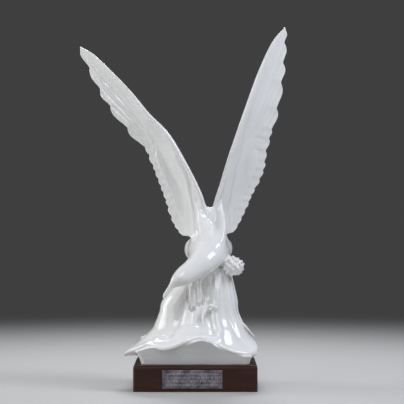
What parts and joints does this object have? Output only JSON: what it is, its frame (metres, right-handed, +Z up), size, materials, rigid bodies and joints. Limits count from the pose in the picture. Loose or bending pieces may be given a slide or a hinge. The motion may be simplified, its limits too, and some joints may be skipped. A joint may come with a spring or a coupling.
{
  "type": "porcelain seagull figurine",
  "caption": "White glazed porcelain gull with raised wings alighting on a tall wave, on a dark wooden plinth with an engraved metal plate.",
  "frame": {"origin": "centre of the plinth's underside, where it stands", "axes": "+Z up; +X to the right of a viewer who faces the plate; the plate and the gull's head are on the -Y side"},
  "size_m": [0.2873, 0.1875, 0.4946],
  "materials": {
    "porcelain": "glossy white glaze",
    "wood": "dark red-brown, polished",
    "plate": "brushed, engraved",
    "pin": "darkened metal"
  },
  "bodies": {
    "root": {"porcelain_gull_on_wave": "porcelain", "wooden_plinth": "wood", "engraved_plate": "plate", "plate_pin_left": "pin", "plate_pin_right": "pin"}
  },
  "joints": []
}
